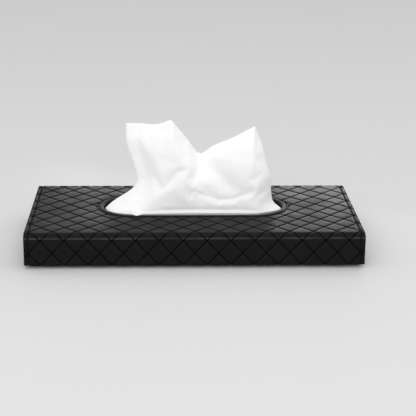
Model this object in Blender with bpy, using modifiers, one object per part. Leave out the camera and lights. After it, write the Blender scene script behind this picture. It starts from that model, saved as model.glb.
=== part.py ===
"""Car tissue holder: a flat case of quilted imitation leather for a pack of folded tissues.

Metres, +Z up. The case lies flat: X is its long side, -Y is the front, and Z = 0 is the
surface that it rests on. The back wall is a flap that folds at its top edge; its lip tucks
under the base and is held there by magnets.
"""
import math

import bmesh
import bpy
from mathutils import Matrix

# Case, over the leather
CASE_WIDTH = 0.235
CASE_DEPTH = 0.120
CASE_HEIGHT = 0.023
FOLD_RADIUS = 0.003

# Layers of a wall, from the outside in
LEATHER_THICKNESS = 0.001
BOARD_THICKNESS = 0.0012
LINING_THICKNESS = 0.0005
LEAST_FOLD_RADIUS = 0.0005
FIT_GAP = 0.0003

# End gussets, set in from the raw edges of the cover
GUSSET_INSET = 0.0055

# Opening in the top
OPENING_LENGTH = 0.1305
OPENING_RADIUS = 0.022
OPENING_SETBACK = 0.0055
EDGE_BAND_THICKNESS = 0.0006

# Stitching: a flat thread line in a pressed groove
THREAD_WIDTH = 0.0008
THREAD_THICKNESS = 0.0004
EDGE_STITCH_INSET = 0.003
OPENING_STITCH_MARGIN = 0.0035
STITCH_END_MARGIN = 0.003

# Lip of the flap, and the magnets that hold it
LIP_THICKNESS = 0.0018
LIP_DEPTH = 0.030
LIP_CORNER_RADIUS = 0.010
MAGNET_DIAMETER = 0.012
MAGNET_THICKNESS = 0.0008
STRIKE_DISC_THICKNESS = 0.0007
MAGNET_END_MARGIN = 0.0425
MAGNET_SETBACK = 0.011

# Elastic straps under the base
STRAP_WIDTH = 0.025
STRAP_END_MARGIN = 0.0575
STRAP_FRONT_MARGIN = 0.008
STRAP_LIP_CLEARANCE = 0.004
STRAP_STITCH_INSET = 0.003
STRAP_STITCH_DEPTH = 0.010

# Pack of tissues, and the tissue drawn up from it
PACK_END_CLEARANCE = 0.010
PACK_SIDE_CLEARANCE = 0.005
PACK_HEIGHT = 0.009
PACK_ROUNDING = 0.0015
TISSUE_THICKNESS = 0.0009
TISSUE_RISE = 0.0685
TISSUE_TUCK_CLEARANCE = 0.0006

# Fineness of the round shapes
ARC_SEGMENTS = 6
OPENING_SEGMENTS = 16
DISC_SEGMENTS = 32
CUT_OVERRUN = 0.002

# Places worked out from the sizes above
BASE_Z = LIP_THICKNESS + FIT_GAP
TOP_Z = BASE_Z + CASE_HEIGHT
HALF_WIDTH = CASE_WIDTH / 2
HALF_DEPTH = CASE_DEPTH / 2
BOARD_INSET = LEATHER_THICKNESS + FIT_GAP
LINING_INSET = BOARD_INSET + BOARD_THICKNESS + FIT_GAP
WALL_THICKNESS = LINING_INSET + LINING_THICKNESS
CASE_BACK_Y = HALF_DEPTH - WALL_THICKNESS - FIT_GAP
WEB_X = HALF_WIDTH - GUSSET_INSET - LEATHER_THICKNESS
INSIDE_HALF_WIDTH = WEB_X - FIT_GAP
GROOVE_DEPTH = THREAD_THICKNESS + FIT_GAP
GROOVE_WIDTH = THREAD_WIDTH + 2 * FIT_GAP
LIP_FRONT_Y = HALF_DEPTH - LIP_DEPTH
HINGE_ANGLE = 45
HINGE_GAP_ANGLE = math.degrees(math.asin(FIT_GAP / 2 / FOLD_RADIUS))
HINGE_Y = HALF_DEPTH - FOLD_RADIUS + FOLD_RADIUS * math.cos(math.radians(HINGE_ANGLE))
FLAP_HINGE_Z = TOP_Z - FOLD_RADIUS + FOLD_RADIUS * math.sin(math.radians(HINGE_ANGLE))
LIP_HINGE_Z = FOLD_RADIUS - FOLD_RADIUS * math.sin(math.radians(HINGE_ANGLE))
PACK_Z = BASE_Z + WALL_THICKNESS + FIT_GAP
PACK_TOP_Z = PACK_Z + PACK_HEIGHT

# The drawn tissue as a coarse cage. It is a sheet folded back on itself at both sides: each row
# runs from its free edge behind, round the left fold, across the front, round the right fold and
# back to its other free edge. Each point is (x, y, z): x as a share of half the opening's length
# and y as a share of its radius, both from its middle, and z as a share of the tissue's rise.
RIM_ROW_SHARES = (
    (-0.40, 0.55, -0.03), (-0.77, 0.45, -0.03), (-1.13, -0.05, 0.00), (-0.77, -0.82, -0.03),
    (-0.46, -1.04, -0.03), (-0.15, -1.04, -0.03), (0.15, -1.04, -0.03), (0.46, -1.04, -0.03),
    (0.77, -0.82, -0.03), (1.13, -0.05, 0.00), (0.77, 0.45, -0.03), (0.40, 0.55, -0.03))
WAIST_ROW_SHARES = (
    (-0.29, 0.64, 0.35), (-0.51, 0.59, 0.38), (-0.60, 0.14, 0.39), (-0.46, -0.41, 0.39),
    (-0.25, -0.91, 0.39), (-0.07, -0.64, 0.38), (0.09, -0.32, 0.36), (0.31, -0.50, 0.38),
    (0.55, -0.68, 0.39), (0.90, -0.18, 0.39), (0.70, 0.36, 0.38), (0.38, 0.50, 0.35))
TOP_ROW_SHARES = (
    (-0.32, 0.64, 0.73), (-0.61, 0.77, 0.82), (-0.82, 0.27, 0.90), (-0.52, -0.27, 0.90),
    (-0.23, -0.77, 1.07), (-0.08, -0.36, 0.78), (0.07, 0.14, 0.50), (0.28, -0.05, 0.71),
    (0.49, -0.41, 0.83), (0.71, -0.23, 0.92), (0.58, 0.36, 0.77), (0.34, 0.55, 0.62))
TUCK_X_SHARE = 0.85
TUCK_Y_SHARE = 0.50

LEATHER = ("black_leather", (0.028, 0.028, 0.031), 0.48, 0.0)
BOARD = ("grey_board", (0.30, 0.28, 0.25), 0.85, 0.0)
LINING = ("black_lining", (0.020, 0.020, 0.022), 0.90, 0.0)
THREAD = ("black_thread", (0.016, 0.016, 0.018), 0.60, 0.0)
ELASTIC = ("black_elastic", (0.024, 0.024, 0.026), 0.85, 0.0)
STEEL = ("plated_steel", (0.62, 0.62, 0.64), 0.30, 1.0)
TISSUE = ("white_tissue", (0.88, 0.88, 0.87), 0.90, 0.0)


def clear_scene():
    for item in list(bpy.data.objects):
        bpy.data.objects.remove(item, do_unlink=True)


def new_collection(name):
    collection = bpy.data.collections.new(name)
    bpy.context.scene.collection.children.link(collection)
    return collection


def finish_of(look):
    """The material of a look: its name, colour, roughness and metallic value."""
    name, colour, roughness, metallic = look
    if name in bpy.data.materials:
        return bpy.data.materials[name]
    material = bpy.data.materials.new(name)
    material.use_nodes = True
    shader = material.node_tree.nodes["Principled BSDF"]
    shader.inputs["Base Color"].default_value = (*colour, 1.0)
    shader.inputs["Roughness"].default_value = roughness
    shader.inputs["Metallic"].default_value = metallic
    return material


def object_from(mesh_data, name, look=None, parent=None):
    """Link a mesh as a part, or as a cutter where it has no look."""
    mesh = bpy.data.meshes.new(name)
    mesh_data.to_mesh(mesh)
    mesh_data.free()
    item = bpy.data.objects.new(name, mesh)
    if look is None:
        bpy.data.collections["cutters"].objects.link(item)
        item.display_type = "WIRE"
        item.hide_render = True
        return item
    bpy.data.collections["car_tissue_holder"].objects.link(item)
    mesh.materials.append(finish_of(look))
    if parent is not None:
        item.parent = parent
        item.matrix_parent_inverse = Matrix.Translation(parent.location).inverted()
    return item


def joint_empty(name, location, parent=None):
    """An empty on a joint's axis, which carries the pieces that move with it."""
    empty = bpy.data.objects.new(name, None)
    bpy.data.collections["car_tissue_holder"].objects.link(empty)
    empty.location = location
    if parent is not None:
        empty.parent = parent
        empty.matrix_parent_inverse = Matrix.Translation(parent.location).inverted()
    return empty


def solidify(item, thickness, side):
    """Give an open surface its thickness: side -1 grows behind its faces, 1 before them."""
    shell = item.modifiers.new("thickness", "SOLIDIFY")
    shell.thickness = thickness
    shell.offset = side
    shell.use_even_offset = True
    shell.use_quality_normals = True


def round_edges(item, radius, segments=ARC_SEGMENTS):
    bevel = item.modifiers.new("rounding", "BEVEL")
    bevel.width = radius
    bevel.segments = segments
    bevel.limit_method = "ANGLE"


def cut(item, cutter, solver="EXACT"):
    boolean = item.modifiers.new("cut_" + cutter.name, "BOOLEAN")
    boolean.operation = "DIFFERENCE"
    boolean.object = cutter
    boolean.solver = solver


def smooth(item):
    item.data.shade_smooth()
    item.data.set_sharp_from_angle(angle=math.radians(HINGE_ANGLE))


def arc(centre, radius, start, end, segments=ARC_SEGMENTS):
    """Points along an arc, its angles in degrees from the first axis to the second."""
    angles = [math.radians(start + (end - start) * i / segments) for i in range(segments + 1)]
    return [(centre[0] + radius * math.cos(a), centre[1] + radius * math.sin(a)) for a in angles]


def fold(side_y, side_z, inset, start, end):
    """A fold of the case's section in (y, z), set in from the outer surface.

    side_y is 1 at the back and -1 at the front; side_z is 1 at the top, -1 at the base.
    """
    radius = max(FOLD_RADIUS - inset, LEAST_FOLD_RADIUS)
    reach = inset + radius
    level = TOP_Z - reach if side_z > 0 else BASE_Z + reach
    return arc((side_y * (HALF_DEPTH - reach), level), radius, start, end)


def case_path(inset, start, back_y):
    """The section of top, front and base, from the list start at the top round to back_y."""
    path = list(start)
    path += fold(-1, 1, inset, 90, 180)
    path += fold(-1, -1, inset, 180, 270)
    path.append((back_y, BASE_Z + inset))
    return path


def add_strip(mesh_data, path, low_x, high_x):
    """Faces from low_x to high_x along a path in (y, z), facing out of the case."""
    low = [mesh_data.verts.new((low_x, y, z)) for y, z in path]
    high = [mesh_data.verts.new((high_x, y, z)) for y, z in path]
    for i in range(len(path) - 1):
        mesh_data.faces.new((low[i], low[i + 1], high[i + 1], high[i]))
    return low, high


def wrap(name, path, low_x, high_x, thickness, side, look=None, parent=None):
    """A sheet bent along a path in (y, z), between low_x and high_x."""
    mesh_data = bmesh.new()
    add_strip(mesh_data, path, low_x, high_x)
    item = object_from(mesh_data, name, look, parent)
    solidify(item, thickness, side)
    return item


def stadium(length, radius):
    """A long round-ended outline about the opening's middle, counterclockwise."""
    reach = length / 2 - radius
    right = arc((reach, OPENING_SETBACK), radius, -90, 90, OPENING_SEGMENTS)
    left = arc((-reach, OPENING_SETBACK), radius, 90, 270, OPENING_SEGMENTS)
    return right + left


def opening_outline(margin):
    """The opening's outline, moved outward by a margin."""
    return stadium(OPENING_LENGTH + 2 * margin, OPENING_RADIUS + margin)


def rectangle(width, depth, centre):
    x, y = centre
    half_width, half_depth = width / 2, depth / 2
    return [(x - half_width, y - half_depth), (x + half_width, y - half_depth),
            (x + half_width, y + half_depth), (x - half_width, y + half_depth)]


def lip_line(inset, back_y):
    """The lip's edge as an open line in (x, y), set in from its raw edge."""
    reach_x = HALF_WIDTH - LIP_CORNER_RADIUS
    reach_y = LIP_FRONT_Y + LIP_CORNER_RADIUS
    radius = LIP_CORNER_RADIUS - inset
    line = [(-HALF_WIDTH + inset, back_y)]
    line += arc((-reach_x, reach_y), radius, 180, 270)
    line += arc((reach_x, reach_y), radius, 270, 360)
    line.append((HALF_WIDTH - inset, back_y))
    return line


def flat_band(name, inner, outer, closed, bottom_z, thickness, look=None, parent=None):
    """A flat band between two outlines in (x, y), from bottom_z up."""
    mesh_data = bmesh.new()
    near = [mesh_data.verts.new((x, y, bottom_z)) for x, y in inner]
    far = [mesh_data.verts.new((x, y, bottom_z)) for x, y in outer]
    count = len(near)
    for i in range(count if closed else count - 1):
        j = (i + 1) % count
        mesh_data.faces.new((near[i], far[i], far[j], near[j]))
    mesh_data.normal_update()
    if sum(face.normal.z for face in mesh_data.faces) < 0:
        bmesh.ops.reverse_faces(mesh_data, faces=mesh_data.faces[:])
    item = object_from(mesh_data, name, look, parent)
    solidify(item, thickness, 1)
    return item


def prism(name, outline, bottom_z, top_z, look=None, parent=None):
    """An upright solid over a flat outline in (x, y)."""
    mesh_data = bmesh.new()
    face = mesh_data.faces.new([mesh_data.verts.new((x, y, bottom_z)) for x, y in outline])
    grown = bmesh.ops.extrude_face_region(mesh_data, geom=[face])
    raised = [v for v in grown["geom"] if isinstance(v, bmesh.types.BMVert)]
    bmesh.ops.translate(mesh_data, verts=raised, vec=(0, 0, top_z - bottom_z))
    bmesh.ops.recalc_face_normals(mesh_data, faces=mesh_data.faces[:])
    return object_from(mesh_data, name, look, parent)


def box(name, low, high, look, parent=None):
    """A box between two corners."""
    mesh_data = bmesh.new()
    size = [b - a for a, b in zip(low, high)]
    centre = [(a + b) / 2 for a, b in zip(low, high)]
    placing = Matrix.Translation(centre) @ Matrix.Diagonal((*size, 1))
    bmesh.ops.create_cube(mesh_data, size=1, matrix=placing)
    return object_from(mesh_data, name, look, parent)


def disc(name, diameter, thickness, centre_x, centre_y, bottom_z, look=None, parent=None):
    """A round flat disc, standing on bottom_z."""
    mesh_data = bmesh.new()
    placing = Matrix.Translation((centre_x, centre_y, bottom_z + thickness / 2))
    bmesh.ops.create_cone(mesh_data, cap_ends=True, segments=DISC_SEGMENTS,
                          radius1=diameter / 2, radius2=diameter / 2, depth=thickness,
                          matrix=placing)
    item = object_from(mesh_data, name, look, parent)
    if look is not None:
        smooth(item)
    return item


def cut_edge_grooves(cover, path):
    """Press the two grooves of the edge stitching into a cover along its path."""
    for side, word in ((-1, "left"), (1, "right")):
        centre_x = side * (HALF_WIDTH - EDGE_STITCH_INSET)
        low_x, high_x = centre_x - GROOVE_WIDTH / 2, centre_x + GROOVE_WIDTH / 2
        name = cover.name + "_" + word + "_groove"
        groove = wrap(name, path, low_x, high_x, GROOVE_DEPTH + CUT_OVERRUN, 1)
        cut(cover, groove, "MANIFOLD")


def edge_stitching(name, side, path, parent=None):
    centre_x = side * (HALF_WIDTH - EDGE_STITCH_INSET)
    low_x, high_x = centre_x - THREAD_WIDTH / 2, centre_x + THREAD_WIDTH / 2
    smooth(wrap(name, path, low_x, high_x, THREAD_THICKNESS, -1, THREAD, parent))


def magnet_places():
    """Name and centre of each magnet: (word, x, y)."""
    x = HALF_WIDTH - MAGNET_END_MARGIN
    y = LIP_FRONT_Y + MAGNET_SETBACK
    return (("left", -x, y), ("right", x, y))


def make_outer_cover():
    """Leather over the top, the front and the base, in one piece."""
    start = fold(1, 1, 0, HINGE_ANGLE + HINGE_GAP_ANGLE, 90)
    cover = wrap("outer_cover", case_path(0, start, CASE_BACK_Y), -HALF_WIDTH, HALF_WIDTH,
                 LEATHER_THICKNESS, -1, LEATHER)
    hole = prism("cover_opening", opening_outline(0), TOP_Z - LEATHER_THICKNESS - CUT_OVERRUN,
                 TOP_Z + CUT_OVERRUN)
    cut(cover, hole, "MANIFOLD")
    behind = [(HALF_DEPTH + CUT_OVERRUN, TOP_Z - GROOVE_DEPTH)]
    cut_edge_grooves(cover, case_path(GROOVE_DEPTH, behind, CASE_BACK_Y + CUT_OVERRUN))
    line = OPENING_STITCH_MARGIN
    groove = flat_band("opening_groove", opening_outline(line - GROOVE_WIDTH / 2),
                       opening_outline(line + GROOVE_WIDTH / 2), True, TOP_Z - GROOVE_DEPTH,
                       GROOVE_DEPTH + CUT_OVERRUN)
    cut(cover, groove, "MANIFOLD")
    for word, x, y in magnet_places():
        hole = disc(word + "_disc_hole", MAGNET_DIAMETER + 2 * FIT_GAP,
                    LEATHER_THICKNESS + 2 * CUT_OVERRUN, x, y, BASE_Z - CUT_OVERRUN)
        cut(cover, hole, "MANIFOLD")
    smooth(cover)


def make_inner_lining():
    """Thin lining inside the top, front and base."""
    start = [(CASE_BACK_Y, TOP_Z - LINING_INSET)]
    lining = wrap("inner_lining", case_path(LINING_INSET, start, CASE_BACK_Y),
                  -INSIDE_HALF_WIDTH, INSIDE_HALF_WIDTH, LINING_THICKNESS, -1, LINING)
    margin = EDGE_BAND_THICKNESS + FIT_GAP
    cut(lining, prism("lining_opening", opening_outline(margin),
                      TOP_Z - WALL_THICKNESS - CUT_OVERRUN, TOP_Z))


def make_boards():
    """Stiffening boards in the top, the front and the base."""
    front_y = -HALF_DEPTH + FOLD_RADIUS
    top_high = TOP_Z - BOARD_INSET
    top = box("top_board", (-INSIDE_HALF_WIDTH, front_y, top_high - BOARD_THICKNESS),
              (INSIDE_HALF_WIDTH, CASE_BACK_Y, top_high), BOARD)
    margin = EDGE_BAND_THICKNESS + FIT_GAP
    cut(top, prism("board_opening", opening_outline(margin),
                   top_high - BOARD_THICKNESS - CUT_OVERRUN, TOP_Z))
    wall_y = -HALF_DEPTH + BOARD_INSET
    box("front_board", (-INSIDE_HALF_WIDTH, wall_y, BASE_Z + FOLD_RADIUS),
        (INSIDE_HALF_WIDTH, wall_y + BOARD_THICKNESS, TOP_Z - FOLD_RADIUS), BOARD)
    base_low = BASE_Z + BOARD_INSET
    box("bottom_board", (-INSIDE_HALF_WIDTH, front_y, base_low),
        (INSIDE_HALF_WIDTH, CASE_BACK_Y, base_low + BOARD_THICKNESS), BOARD)


def make_gusset(name, side):
    """An end wall: a tray of leather that opens outward, under the cover's raw edges."""
    path = case_path(BOARD_INSET, [(CASE_BACK_Y, TOP_Z - BOARD_INSET)], CASE_BACK_Y)
    mesh_data = bmesh.new()
    low_x, high_x = sorted((side * WEB_X, side * HALF_WIDTH))
    low, high = add_strip(mesh_data, path, low_x, high_x)
    web = low if side > 0 else high[::-1]
    mesh_data.faces.new(web[::-1])
    item = object_from(mesh_data, name, LEATHER)
    solidify(item, LEATHER_THICKNESS, -1)
    smooth(item)


def make_opening_edge():
    """The band down the opening's wall, and the ring of stitching round it."""
    mesh_data = bmesh.new()
    outline = opening_outline(0)
    low = [mesh_data.verts.new((x, y, TOP_Z - WALL_THICKNESS)) for x, y in outline]
    high = [mesh_data.verts.new((x, y, TOP_Z - BOARD_INSET)) for x, y in outline]
    for i in range(len(outline)):
        j = (i + 1) % len(outline)
        mesh_data.faces.new((low[i], low[j], high[j], high[i]))
    band = object_from(mesh_data, "opening_edge_band", LEATHER)
    solidify(band, EDGE_BAND_THICKNESS, 1)
    smooth(band)
    line = OPENING_STITCH_MARGIN
    smooth(flat_band("opening_stitching", opening_outline(line - THREAD_WIDTH / 2),
                     opening_outline(line + THREAD_WIDTH / 2), True,
                     TOP_Z - THREAD_THICKNESS, THREAD_THICKNESS, THREAD))


def make_edge_stitching():
    """A line of stitching along each raw edge, over the top, the front and the base."""
    start = [(HALF_DEPTH - FOLD_RADIUS - STITCH_END_MARGIN, TOP_Z)]
    path = case_path(0, start, CASE_BACK_Y - STITCH_END_MARGIN)
    edge_stitching("left_edge_stitching", -1, path)
    edge_stitching("right_edge_stitching", 1, path)


def make_strap(word, side):
    """An elastic strap under the base, sewn down at both ends with a box of stitches."""
    centre_x = side * (HALF_WIDTH - STRAP_END_MARGIN)
    front_y = -HALF_DEPTH + STRAP_FRONT_MARGIN
    back_y = LIP_FRONT_Y - STRAP_LIP_CLEARANCE
    strap = box(word + "_visor_strap", (centre_x - STRAP_WIDTH / 2, front_y, 0),
                (centre_x + STRAP_WIDTH / 2, back_y, LIP_THICKNESS), ELASTIC)
    box_width = STRAP_WIDTH - 2 * STRAP_STITCH_INSET
    reach = STRAP_STITCH_INSET + STRAP_STITCH_DEPTH / 2
    for end, y in (("front", front_y + reach), ("back", back_y - reach)):
        centre = (centre_x, y)
        name = word + "_strap_" + end
        groove = flat_band(
            name + "_groove",
            rectangle(box_width - GROOVE_WIDTH, STRAP_STITCH_DEPTH - GROOVE_WIDTH, centre),
            rectangle(box_width + GROOVE_WIDTH, STRAP_STITCH_DEPTH + GROOVE_WIDTH, centre),
            True, -CUT_OVERRUN, CUT_OVERRUN + GROOVE_DEPTH)
        cut(strap, groove)
        flat_band(
            name + "_stitching",
            rectangle(box_width - THREAD_WIDTH, STRAP_STITCH_DEPTH - THREAD_WIDTH, centre),
            rectangle(box_width + THREAD_WIDTH, STRAP_STITCH_DEPTH + THREAD_WIDTH, centre),
            True, 0, THREAD_THICKNESS, THREAD)


def make_strike_discs():
    """Steel discs let into the base, over the lip's magnets."""
    for word, x, y in magnet_places():
        bottom_z = BASE_Z + (LEATHER_THICKNESS - STRIKE_DISC_THICKNESS) / 2
        disc(word + "_strike_disc", MAGNET_DIAMETER, STRIKE_DISC_THICKNESS, x, y, bottom_z, STEEL)


def make_tissue_pack():
    """The pack that lies inside: folded tissues, with room above them."""
    half_length = INSIDE_HALF_WIDTH - PACK_END_CLEARANCE
    half_depth = CASE_BACK_Y - PACK_SIDE_CLEARANCE
    pack = box("tissue_stack", (-half_length, -half_depth, PACK_Z),
               (half_length, half_depth, PACK_TOP_Z), TISSUE)
    round_edges(pack, PACK_ROUNDING, ARC_SEGMENTS // 2)
    smooth(pack)


def make_back_flap(hinge):
    """The back wall: cover, board and lining, which swing together about the top fold."""
    path = arc((HALF_DEPTH - FOLD_RADIUS, FOLD_RADIUS), FOLD_RADIUS,
               HINGE_GAP_ANGLE - HINGE_ANGLE, 0)
    path += fold(1, 1, 0, 0, HINGE_ANGLE - HINGE_GAP_ANGLE)
    cover = wrap("back_cover", path, -HALF_WIDTH, HALF_WIDTH, LEATHER_THICKNESS, -1,
                 LEATHER, hinge)
    low_z, high_z = FOLD_RADIUS, TOP_Z - FOLD_RADIUS
    groove_y = HALF_DEPTH - GROOVE_DEPTH
    cut_edge_grooves(cover, [(groove_y, low_z), (groove_y, high_z)])
    smooth(cover)
    line = [(HALF_DEPTH, low_z + STITCH_END_MARGIN), (HALF_DEPTH, high_z - STITCH_END_MARGIN)]
    edge_stitching("left_flap_stitching", -1, line, hinge)
    edge_stitching("right_flap_stitching", 1, line, hinge)
    board_y = HALF_DEPTH - BOARD_INSET
    box("back_board", (-INSIDE_HALF_WIDTH, board_y - BOARD_THICKNESS, low_z),
        (INSIDE_HALF_WIDTH, board_y, high_z), BOARD, hinge)
    lining_y = HALF_DEPTH - LINING_INSET
    box("back_lining", (-INSIDE_HALF_WIDTH, lining_y - LINING_THICKNESS, low_z),
        (INSIDE_HALF_WIDTH, lining_y, high_z), LINING, hinge)


def make_lip(hinge):
    """The lip that folds under the base, with its magnets in open pockets."""
    path = [(LIP_FRONT_Y, 0)]
    path += arc((HALF_DEPTH - FOLD_RADIUS, FOLD_RADIUS), FOLD_RADIUS, 270,
                360 - HINGE_ANGLE - HINGE_GAP_ANGLE)
    mesh_data = bmesh.new()
    low, high = add_strip(mesh_data, path, -HALF_WIDTH, HALF_WIDTH)
    bmesh.ops.bevel(mesh_data, geom=[low[0], high[0]], offset=LIP_CORNER_RADIUS,
                    segments=ARC_SEGMENTS, profile=0.5, affect="VERTICES")
    lip = object_from(mesh_data, "lip_cover", LEATHER, hinge)
    solidify(lip, LIP_THICKNESS, -1)
    back_y = HALF_DEPTH - FOLD_RADIUS - STITCH_END_MARGIN
    spread = GROOVE_WIDTH / 2
    cut(lip, flat_band("lip_groove", lip_line(EDGE_STITCH_INSET + spread, back_y),
                       lip_line(EDGE_STITCH_INSET - spread, back_y), False,
                       -CUT_OVERRUN, CUT_OVERRUN + GROOVE_DEPTH))
    pocket_depth = MAGNET_THICKNESS + FIT_GAP
    for word, x, y in magnet_places():
        cut(lip, disc(word + "_magnet_pocket", MAGNET_DIAMETER + 2 * FIT_GAP,
                      pocket_depth + CUT_OVERRUN, x, y, LIP_THICKNESS - pocket_depth))
        disc(word + "_lip_magnet", MAGNET_DIAMETER, MAGNET_THICKNESS, x, y,
             LIP_THICKNESS - MAGNET_THICKNESS, STEEL, hinge)
    smooth(lip)
    spread = THREAD_WIDTH / 2
    end_y = back_y - FIT_GAP
    smooth(flat_band("lip_stitching", lip_line(EDGE_STITCH_INSET + spread, end_y),
                     lip_line(EDGE_STITCH_INSET - spread, end_y), False, 0,
                     THREAD_THICKNESS, THREAD, hinge))


def make_drawn_tissue(slide):
    """The tissue that stands in the opening, with its two peaks and the valley between."""
    tuck_z = PACK_TOP_Z + FIT_GAP + TISSUE_TUCK_CLEARANCE
    rows = [[(TUCK_X_SHARE * x, TUCK_Y_SHARE * y, tuck_z) for x, y, z in RIM_ROW_SHARES]]
    for shares in (RIM_ROW_SHARES, WAIST_ROW_SHARES, TOP_ROW_SHARES):
        rows.append([(x, y, TOP_Z + z * TISSUE_RISE) for x, y, z in shares])
    mesh_data = bmesh.new()
    cage = [[mesh_data.verts.new((x * OPENING_LENGTH / 2, OPENING_SETBACK + y * OPENING_RADIUS, z))
             for x, y, z in row] for row in rows]
    for low, high in zip(cage, cage[1:]):
        for i in range(len(low) - 1):
            mesh_data.faces.new((low[i], low[i + 1], high[i + 1], high[i]))
    sheet = object_from(mesh_data, "tissue_sheet", TISSUE, slide)
    rounding = sheet.modifiers.new("soft_folds", "SUBSURF")
    rounding.levels = 2
    rounding.render_levels = 2
    rounding.boundary_smooth = "PRESERVE_CORNERS"
    solidify(sheet, TISSUE_THICKNESS, 0)
    sheet.data.shade_smooth()


def main():
    clear_scene()
    new_collection("car_tissue_holder")
    new_collection("cutters")
    make_outer_cover()
    make_inner_lining()
    make_boards()
    make_gusset("left_gusset", -1)
    make_gusset("right_gusset", 1)
    make_opening_edge()
    make_edge_stitching()
    make_strap("left", -1)
    make_strap("right", 1)
    make_strike_discs()
    make_tissue_pack()
    flap_hinge = joint_empty("flap_hinge", (0, HINGE_Y, FLAP_HINGE_Z))
    lip_hinge = joint_empty("lip_hinge", (0, HINGE_Y, LIP_HINGE_Z), flap_hinge)
    tissue_pull = joint_empty("tissue_pull", (0, OPENING_SETBACK, TOP_Z))
    make_back_flap(flap_hinge)
    make_lip(lip_hinge)
    make_drawn_tissue(tissue_pull)


main()
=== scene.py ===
"""The looks of the car tissue holder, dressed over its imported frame.

Metres, +Z up, in the frame's own axes: X is the long side, -Y is the front, and the surface that
the case lies on is Z = 0. A sheet of leather is first laid out flat in (x, s), where s is the
distance from the quilt's first row, and then bent along the case's section.
"""
import math

import bmesh
import bpy
import numpy as np
from mathutils import Matrix, Vector, geometry, noise


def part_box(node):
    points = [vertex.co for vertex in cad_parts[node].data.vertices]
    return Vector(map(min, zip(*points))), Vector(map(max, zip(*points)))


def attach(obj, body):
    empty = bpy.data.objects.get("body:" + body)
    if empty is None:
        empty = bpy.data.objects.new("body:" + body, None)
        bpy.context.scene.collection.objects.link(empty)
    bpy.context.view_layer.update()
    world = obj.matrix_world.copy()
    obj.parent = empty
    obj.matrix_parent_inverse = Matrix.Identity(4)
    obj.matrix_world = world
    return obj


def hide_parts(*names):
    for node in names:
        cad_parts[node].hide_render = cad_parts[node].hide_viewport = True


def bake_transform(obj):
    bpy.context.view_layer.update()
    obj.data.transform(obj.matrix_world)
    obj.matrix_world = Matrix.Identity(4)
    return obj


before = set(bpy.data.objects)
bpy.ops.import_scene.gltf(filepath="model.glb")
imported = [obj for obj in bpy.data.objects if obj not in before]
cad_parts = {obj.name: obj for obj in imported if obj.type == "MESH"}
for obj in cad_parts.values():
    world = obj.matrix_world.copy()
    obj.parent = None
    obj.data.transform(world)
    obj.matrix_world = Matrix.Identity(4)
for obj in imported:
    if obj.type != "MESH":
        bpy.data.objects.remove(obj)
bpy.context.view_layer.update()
MILLIMETRE = 0.001

# Case, read from the frame
COVER_LOW, COVER_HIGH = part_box("outer_cover")
HALF_WIDTH = COVER_HIGH.x
HALF_DEPTH = -COVER_LOW.y
TOP_Z = COVER_HIGH.z
BASE_Z = COVER_LOW.z
BASE_BACK_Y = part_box("bottom_board")[1].y
LIP_FRONT_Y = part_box("lip_cover")[0].y
PACK_LOW, PACK_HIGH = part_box("tissue_stack")

# Case, as the part's source gives it
FOLD_RADIUS = 0.003
LEATHER_THICKNESS = 0.001
LIP_THICKNESS = 0.0018
LIP_CORNER_RADIUS = 0.010
FIT_GAP = 0.0003
OPENING_LENGTH = 0.1305
OPENING_RADIUS = 0.022
OPENING_REACH = OPENING_LENGTH / 2 - OPENING_RADIUS
OPENING_SETBACK = 0.0055
EDGE_STITCH_INSET = 0.003
OPENING_STITCH_MARGIN = 0.0035
STITCH_END_MARGIN = 0.003

# The top slopes down before it turns at the front: a wide soft bend, then a tight one. The fold
# under the front is tight too.
SLOPE_ANGLE = 50
SLOPE_RADIUS = 0.0040
SLOPE_REACH = 0.0045
TURN_RADIUS = 0.0018
LOWER_RADIUS = 0.0014

# Quilt
QUILT_COUNT = 14
QUILT_WIDTH = 2 * (HALF_WIDTH - EDGE_STITCH_INSET) / QUILT_COUNT
QUILT_DEPTH = 0.01786
QUILT_FIRST_ROW_Y = -0.054
LINE_PITCH = 1 / math.hypot(1 / QUILT_WIDTH, 1 / QUILT_DEPTH)
CELL_SHARES = (0.0, 0.026, 0.054, 0.095, 0.22, 0.5, 0.78, 0.905, 0.946, 0.974)
CROWN_HEIGHT = 0.00006
CROWN_FLATNESS = 0.30
GROOVE_DEPTH = 0.00055
GROOVE_SPREAD = 0.00056
DEEPEST_GROOVE = 0.00085

# Grooves along seams and edges, as (depth, spread), and the lines that divide the leather there
STITCH_GROOVE = (0.00070, 0.00060)
STITCH_GROOVE_LINES = (-1.6, -0.8, 0, 0.8, 1.6)
RAW_EDGE = (0.00030, 0.00035)
SEAM = (0.00035, 0.0014)
SEAM_LINE_SHARE = 0.6
SEAM_OVERLAP = 0.0002

# Leather sheets. A vertex this near a cut moves onto it. The rim and the inner face have the
# second and the third material.
SNAP = 0.00008
SLOPE_STEP = SNAP / 10
SAME_PLACE = 1e-6
FOLD_STEPS = 8
PAST_FOLD_SHARES = (0.5, 1.0)
POCKET_SIDES = 32
SHARP_ANGLE = math.radians(62)
RIM_SLOT = 1
INNER_SLOT = 2

# Binding round the opening, as (margin outside the opening, height over the top)
BINDING_REACH = 0.0043
BINDING_SECTION = (
    (0.0043, -0.0009), (0.0043, -0.00030), (0.0042, -0.00002), (0.00400, 0.00006),
    (0.00378, -0.00012), (0.00350, -0.00042), (0.00322, -0.00012), (0.00295, 0.00010),
    (0.0025, 0.00024), (0.0019, 0.00028), (0.0013, 0.00022), (0.0008, 0.00004),
    (0.0004, -0.00030), (0.0001, -0.00080), (0.0, -0.0014), (0.0, -0.0024), (0.0, -0.0031),
    (0.0001, -0.0033), (0.0005, -0.0033), (0.0006, -0.0031), (0.0006, -0.0014),
    (0.0010, -0.0010), (0.0020, -0.00085), (0.0035, -0.00085))
ROUND_STEPS = 36
STRAIGHT_STEPS = 24

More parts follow.
